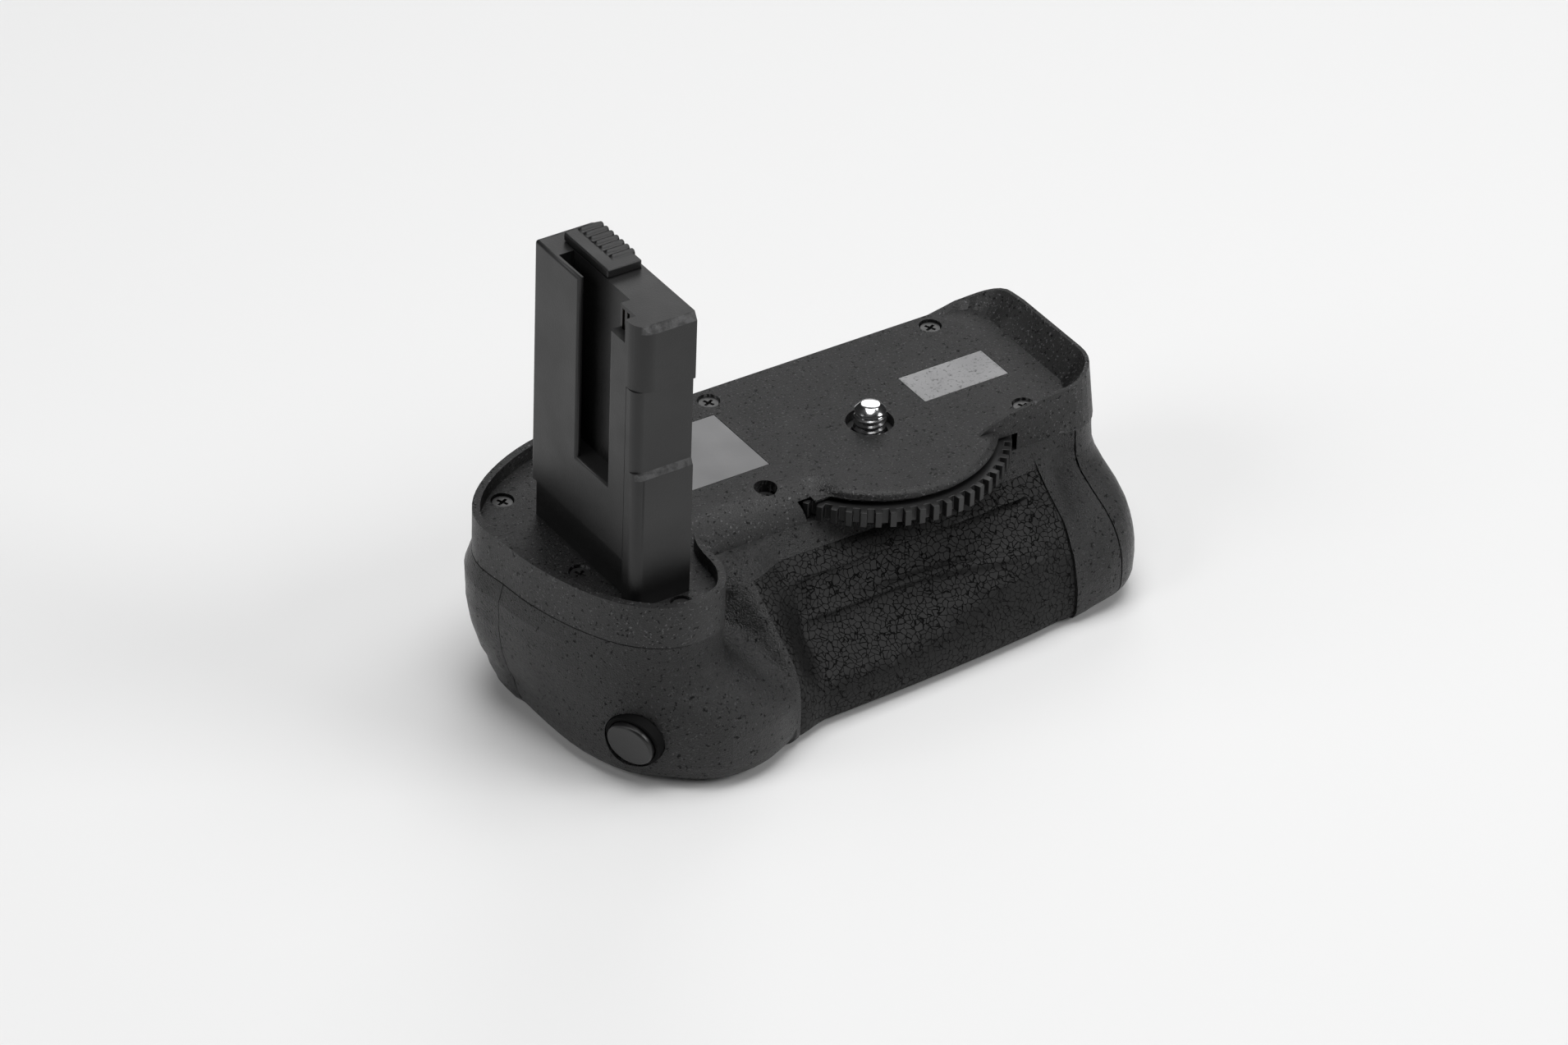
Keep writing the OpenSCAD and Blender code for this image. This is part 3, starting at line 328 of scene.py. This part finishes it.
def leather(name, grey):
    """Black rubber with a moulded leather grain: rounded cells between thin grooves."""
    mat, tree, shader = new_material(name)
    vector = object_coords(tree)
    warp = tree.nodes.new("ShaderNodeTexNoise")
    warp.inputs["Scale"].default_value = 500
    tree.links.new(vector, warp.inputs["Vector"])
    push = tree.nodes.new("ShaderNodeVectorMath")
    push.operation = "MULTIPLY_ADD"
    push.inputs[1].default_value = (0.0014,) * 3
    tree.links.new(warp.outputs["Color"], push.inputs[0])
    tree.links.new(vector, push.inputs[2])
    cells = tree.nodes.new("ShaderNodeTexVoronoi")
    cells.feature = "DISTANCE_TO_EDGE"
    cells.inputs["Scale"].default_value = 850
    tree.links.new(push.outputs[0], cells.inputs["Vector"])
    groove = remap(tree, cells.outputs["Distance"], 0.0, 0.06, 0.0, 1.0)
    shader.inputs["Base Color"].default_value = (grey, grey, grey, 1)
    shader.inputs["Roughness"].default_value = 0.55
    # The grooves keep about a tenth of the cells' gloss: painted shade down in the grooves, besides
    # their bump.
    tree.links.new(remap(tree, groove, 0.0, 1.0, 0.03, 0.3), shader.inputs["Specular IOR Level"])
    bump(tree, shader, groove, 0.9, 0.0003)
    return mat


grip_rubber = leather("grip_rubber", 0.003)
refined("rubber_grip", grip_rubber, soft_deg=50, edge=0, form=channel,
        rows=((0, -44, 30, 1.0), (2, 14, 28, 0.3)))

# Top cover: the plate that the camera sits on, with a rim round the stalk, a cover over the wheel
# and a lip at the far end. One moulding of black plastic, screwed down from above. Its raised specks
# are painted lighter, as glints of the grain.
SEAT = 37.0
SHOULDER_R, SHOULDER_Y = 7, -8  # the rounded front edge of the plate
CORNER_X, RIM_FOOT = -22.3, 35.3  # left end of the wheel's opening, lowest place of its rim


def wheel_corner(x, y, z):
    """Beside the wheel's opening the shoulder runs up into the rim of the wheel's cover."""
    if not (CORNER_X < x < -16 and -15.1 < y < SHOULDER_Y and z > RIM_FOOT):
        return 0.0, 0.0, 0.0
    shoulder = SEAT - SHOULDER_R + math.sqrt(max(SHOULDER_R ** 2 - (y - SHOULDER_Y) ** 2, 0))
    height = shoulder + (SEAT - shoulder) * ease((x - CORNER_X) / 5)
    return 0.0, 0.0, min(max(RIM_FOOT, height) - z, 0)


# Its flecks are raised grain, painted lighter as glints.
cover_plastic = plastic("cover_plastic", 0.008, 0.44, 3200, 0.0002, fleck=1.0, fleck_and_glint_grey=0.10)
refined("top_cover", cover_plastic, edge=0.15, flat=True, form=wheel_corner,
        rows=((0, -22, -16, 0.75), (1, -15, -8, 0.7)))

# Thumbwheel: a toothed plastic wheel under the cover, which turns the tripod screw. It runs on a
# steel washer, and a dull steel plate closes the hole round the screw.
plate_steel = metal("plate_steel", (0.12, 0.12, 0.12), 0.45, 0.2)
wheel_plastic = plastic("wheel_plastic", 0.008, 0.45, 1800, 0.00004)
refined("thumbwheel", wheel_plastic, "wheel")
dressed("wheel_washer", steel)
dressed("screw_plate", plate_steel)

# Tripod screw: turned steel with a chrome finish. Its tip has a flat end, a cone and a smooth
# collar, with a quarter-inch thread under it that stands out of the hole in the seat.


def threaded(ob, seat=SEAT, tip=41.0, root=2.72, crest=3.14, pitch=1.27, turns=4, steps=48):
    bm = bmesh.new()
    bm.from_mesh(ob.data)
    low = seat - 0.9
    bmesh.ops.bisect_plane(bm, geom=bm.verts[:] + bm.edges[:] + bm.faces[:], dist=1e-7,
                           plane_co=(0, 0, low * MM), plane_no=(0, 0, 1), clear_outer=True)
    line = [(2.3, low), (root, low + 0.3), (root, tip - 1.75), (crest - 0.1, tip - 1.55),
            (crest - 0.1, tip - 1.1), (2.0, tip - 0.1), (1.75, tip), (0.0, tip)]
    dots = [bm.verts.new((r * MM, 0, z * MM)) for r, z in line]
    rods = [bm.edges.new(pair) for pair in zip(dots, dots[1:])]
    bmesh.ops.spin(bm, geom=dots + rods, cent=(0, 0, 0), axis=(0, 0, 1), dvec=(0, 0, 0),
                   angle=math.tau, steps=96)
    z = tip - 2.3 - pitch * turns + 0.35
    tooth = [(root - 0.1, z - 0.5), (crest, z - 0.07), (crest, z + 0.07), (root - 0.1, z + 0.5)]
    dots = [bm.verts.new((r * MM, 0, h * MM)) for r, h in tooth]
    rods = [bm.edges.new(pair) for pair in zip(dots, dots[1:])]
    bmesh.ops.spin(bm, geom=dots + rods, cent=(0, 0, 0), axis=(0, 0, 1),
                   dvec=(0, 0, pitch * MM / steps), angle=math.tau * turns, steps=steps * turns)
    bmesh.ops.remove_doubles(bm, verts=bm.verts, dist=2e-6)
    bmesh.ops.recalc_face_normals(bm, faces=bm.faces)
    for f in bm.faces:
        f.smooth = True
    bm.to_mesh(ob.data)
    bm.free()
    ob.data.set_sharp_from_angle(angle=math.radians(30))


chrome = metal("screw_chrome", (0.82, 0.82, 0.83), 0.12)
threaded(refined("tripod_screw", chrome, "wheel", edge=0))

# Cross-head screws: seven small blackened steel screws, sunk in the seat and in the shoulder.
# They hold the top cover down on the bosses of the shells and of the bay frame.
refined("plate_screws", steel)

# Labels: two bare stickers on the seat, a dark satin one beside the stalk and a silver one with
# dark flecks at the far end.
label_silver = plastic("label_silver", 0.22, 0.42, 2600, 0.00003, 0.1, fleck=1.0, fleck_and_glint_grey=0.12)
label_dark = plastic("label_dark", 0.14, 0.42, 900, 0.00002, 0.08)
dressed("data_label", label_dark)
dressed("rating_label", label_silver)

# Stalk: the dummy cell that enters the camera, a smooth moulding with a deep channel in its left
# face and a separate front cover. Its narrow face is rubbed pale at its step and at the top edge,
# and brass contacts sit behind the slits at its top.
STALK_LEFT, STALK_REAR, STALK_TOP = -72, 6, 98
STALK_FACE = -28.4  # just behind the narrow face
STALK_ROUND = 0.6  # rounding of the outer edges
SCUFFS = ((65.0, 66.5), (96.3, 98.1))  # heights of the rubbed bands


def scuffed(mat, bands, grey):
    """Rubs the plastic lighter on the narrow face of the stalk, between pairs of heights in mm."""
    tree = mat.node_tree
    shader = tree.nodes["Principled BSDF"]
    vector = object_coords(tree)
    split = tree.nodes.new("ShaderNodeSeparateXYZ")
    tree.links.new(vector, split.inputs["Vector"])
    face = remap(tree, split.outputs["Y"], STALK_FACE * MM, (STALK_FACE - 0.3) * MM, 0.0, 1.0)
    wear = remap(tree, noise(tree, vector, 700, 4, 0.6), 0.38, 0.62, 0.15, 1.0)
    total = None
    for low, high in bands:
        part = remap(tree, split.outputs["Z"], low * MM, (low + 0.15) * MM, 0.0, 1.0)
        over = remap(tree, split.outputs["Z"], (high - 0.15) * MM, high * MM, 1.0, 0.0)
        part = product(tree, part, over)
        part = product(tree, product(tree, part, face), wear)
        if total is not None:
            add = tree.nodes.new("ShaderNodeMath")
            tree.links.new(total, add.inputs[0])
            tree.links.new(part, add.inputs[1])
            part = add.outputs[0]
        total = part
    tree.links.new(mixed(tree, total, 0.008, grey), shader.inputs["Base Color"])


def stalk_rim(bm):
    """Rounds the edges of the stalk's left face, of the channel's mouth and of the top at the rear."""
    def on(edge, axis, at):
        return all(abs(v.co[axis] / MM - at) < 0.01 for v in edge.verts)
    rim = [e for e in bm.edges if e.calc_length() > 2.5 * MM and (
        (on(e, 0, STALK_LEFT) and all(v.co.y > -20 * MM for v in e.verts))
        or (on(e, 2, STALK_TOP) and on(e, 1, STALK_REAR)))]
    bmesh.ops.bevel(bm, geom=rim, offset=STALK_ROUND * MM, offset_type="OFFSET", segments=5,
                    profile=0.5, affect="EDGES", clamp_overlap=False, material=-1)


stalk_plastic = plastic("stalk_plastic", 0.008, 0.44, 2600, 0.00003, 0.04)
scuffed(stalk_plastic, SCUFFS, 0.07)
refined("stalk_body", stalk_plastic, soft_deg=25, edge=0, rim=stalk_rim)
refined("stalk_cover", stalk_plastic, edge=0.3, segments=3)
dressed("stalk_contacts", brass)

# Catch: a ribbed slider on top of the stalk, moulded in the same plastic and pushed with a
# fingertip.
refined("stalk_catch", stalk_plastic, "catch", edge=0.3, segments=3, clamp=False)

# Camera: the view of the photograph, taken from far off with a long lens. The width of the tripod
# screw gives the distance.


def photo_axes(az, el, roll):
    a, e, r = (math.radians(v) for v in (az, el, roll))
    back = Vector((math.sin(a) * math.cos(e), -math.cos(a) * math.cos(e), math.sin(e)))
    side = Vector((math.cos(a), math.sin(a), 0.0))
    up = back.cross(side)
    return (side * math.cos(r) + up * math.sin(r), up * math.cos(r) - side * math.sin(r), back)


side, up, back = photo_axes(-34.55, 34.72, 2.21)
FOCUS = 9000.0  # focal length in pixels of the photograph
PHOTO_SIZE = (1910.0, 1273.0)
SCREW_AT = (1059.5, 513.0)  # where the screw's axis meets the seat
distance = FOCUS * 6.35 / 40.7  # the quarter-inch screw is 40.7 pixels wide
spot = Vector((0, 0, SEAT)) - (side * (SCREW_AT[0] - PHOTO_SIZE[0] / 2) / FOCUS * distance
                               - up * (SCREW_AT[1] - PHOTO_SIZE[1] / 2) / FOCUS * distance
                               - back * distance)
cam_data = bpy.data.cameras.new("photo_camera")
cam_data.sensor_width = 36
cam_data.lens = FOCUS * cam_data.sensor_width / PHOTO_SIZE[0]
cam_data.clip_start = 0.05
cam_data.clip_end = 20
cam = bpy.data.objects.new("photo_camera", cam_data)
scene.collection.objects.link(cam)
cam.matrix_world = Matrix((
    (side.x, up.x, back.x, spot.x * MM),
    (side.y, up.y, back.y, spot.y * MM),
    (side.z, up.z, back.z, spot.z * MM),
    (0, 0, 0, 1)))
scene.camera = cam

# Floor: a wide pale grey table, just under the base.
floor_mesh = bpy.data.meshes.new("floor")
bm = bmesh.new()
bmesh.ops.create_grid(bm, x_segments=1, y_segments=1, size=4)
bm.to_mesh(floor_mesh)
bm.free()
floor = bpy.data.objects.new("floor", floor_mesh)
scene.collection.objects.link(floor)
floor_mat, floor_tree, floor_shader = new_material("floor")
floor_shader.inputs["Base Color"].default_value = (0.8, 0.8, 0.8, 1)
floor_shader.inputs["Roughness"].default_value = 0.7
floor_mesh.materials.append(floor_mat)
floor.location.z = -0.00005

# Light: a little from all round, and five round softboxes as in a small photo studio.
world = bpy.data.worlds.new("studio")
scene.world = world
world.use_nodes = True
world.node_tree.nodes["Background"].inputs["Color"].default_value = (1, 1, 1, 1)
world.node_tree.nodes["Background"].inputs["Strength"].default_value = 0.02


def softbox(name, place, size, watts):
    light = bpy.data.lights.new(name, "AREA")
    light.shape = "DISK"
    light.size = size
    light.energy = watts
    ob = bpy.data.objects.new(name, light)
    ob.location = place
    ob.rotation_euler = (Vector((0, 0, 0.02)) - Vector(place)).to_track_quat("-Z", "Y").to_euler()
    scene.collection.objects.link(ob)
    return ob


softbox("top", (0.0, 0.0, 1.3), 1.0, 12)
softbox("top right", (0.6, -0.1, 1.1), 0.5, 1.5)
softbox("front right", (0.9, -0.9, 0.8), 0.8, 9)
softbox("left", (-1.2, 0.1, 0.8), 0.8, 5.5)
softbox("back", (0.6, 0.85, 0.72), 0.7, 2.4)

scene.view_settings.view_transform = "Standard"
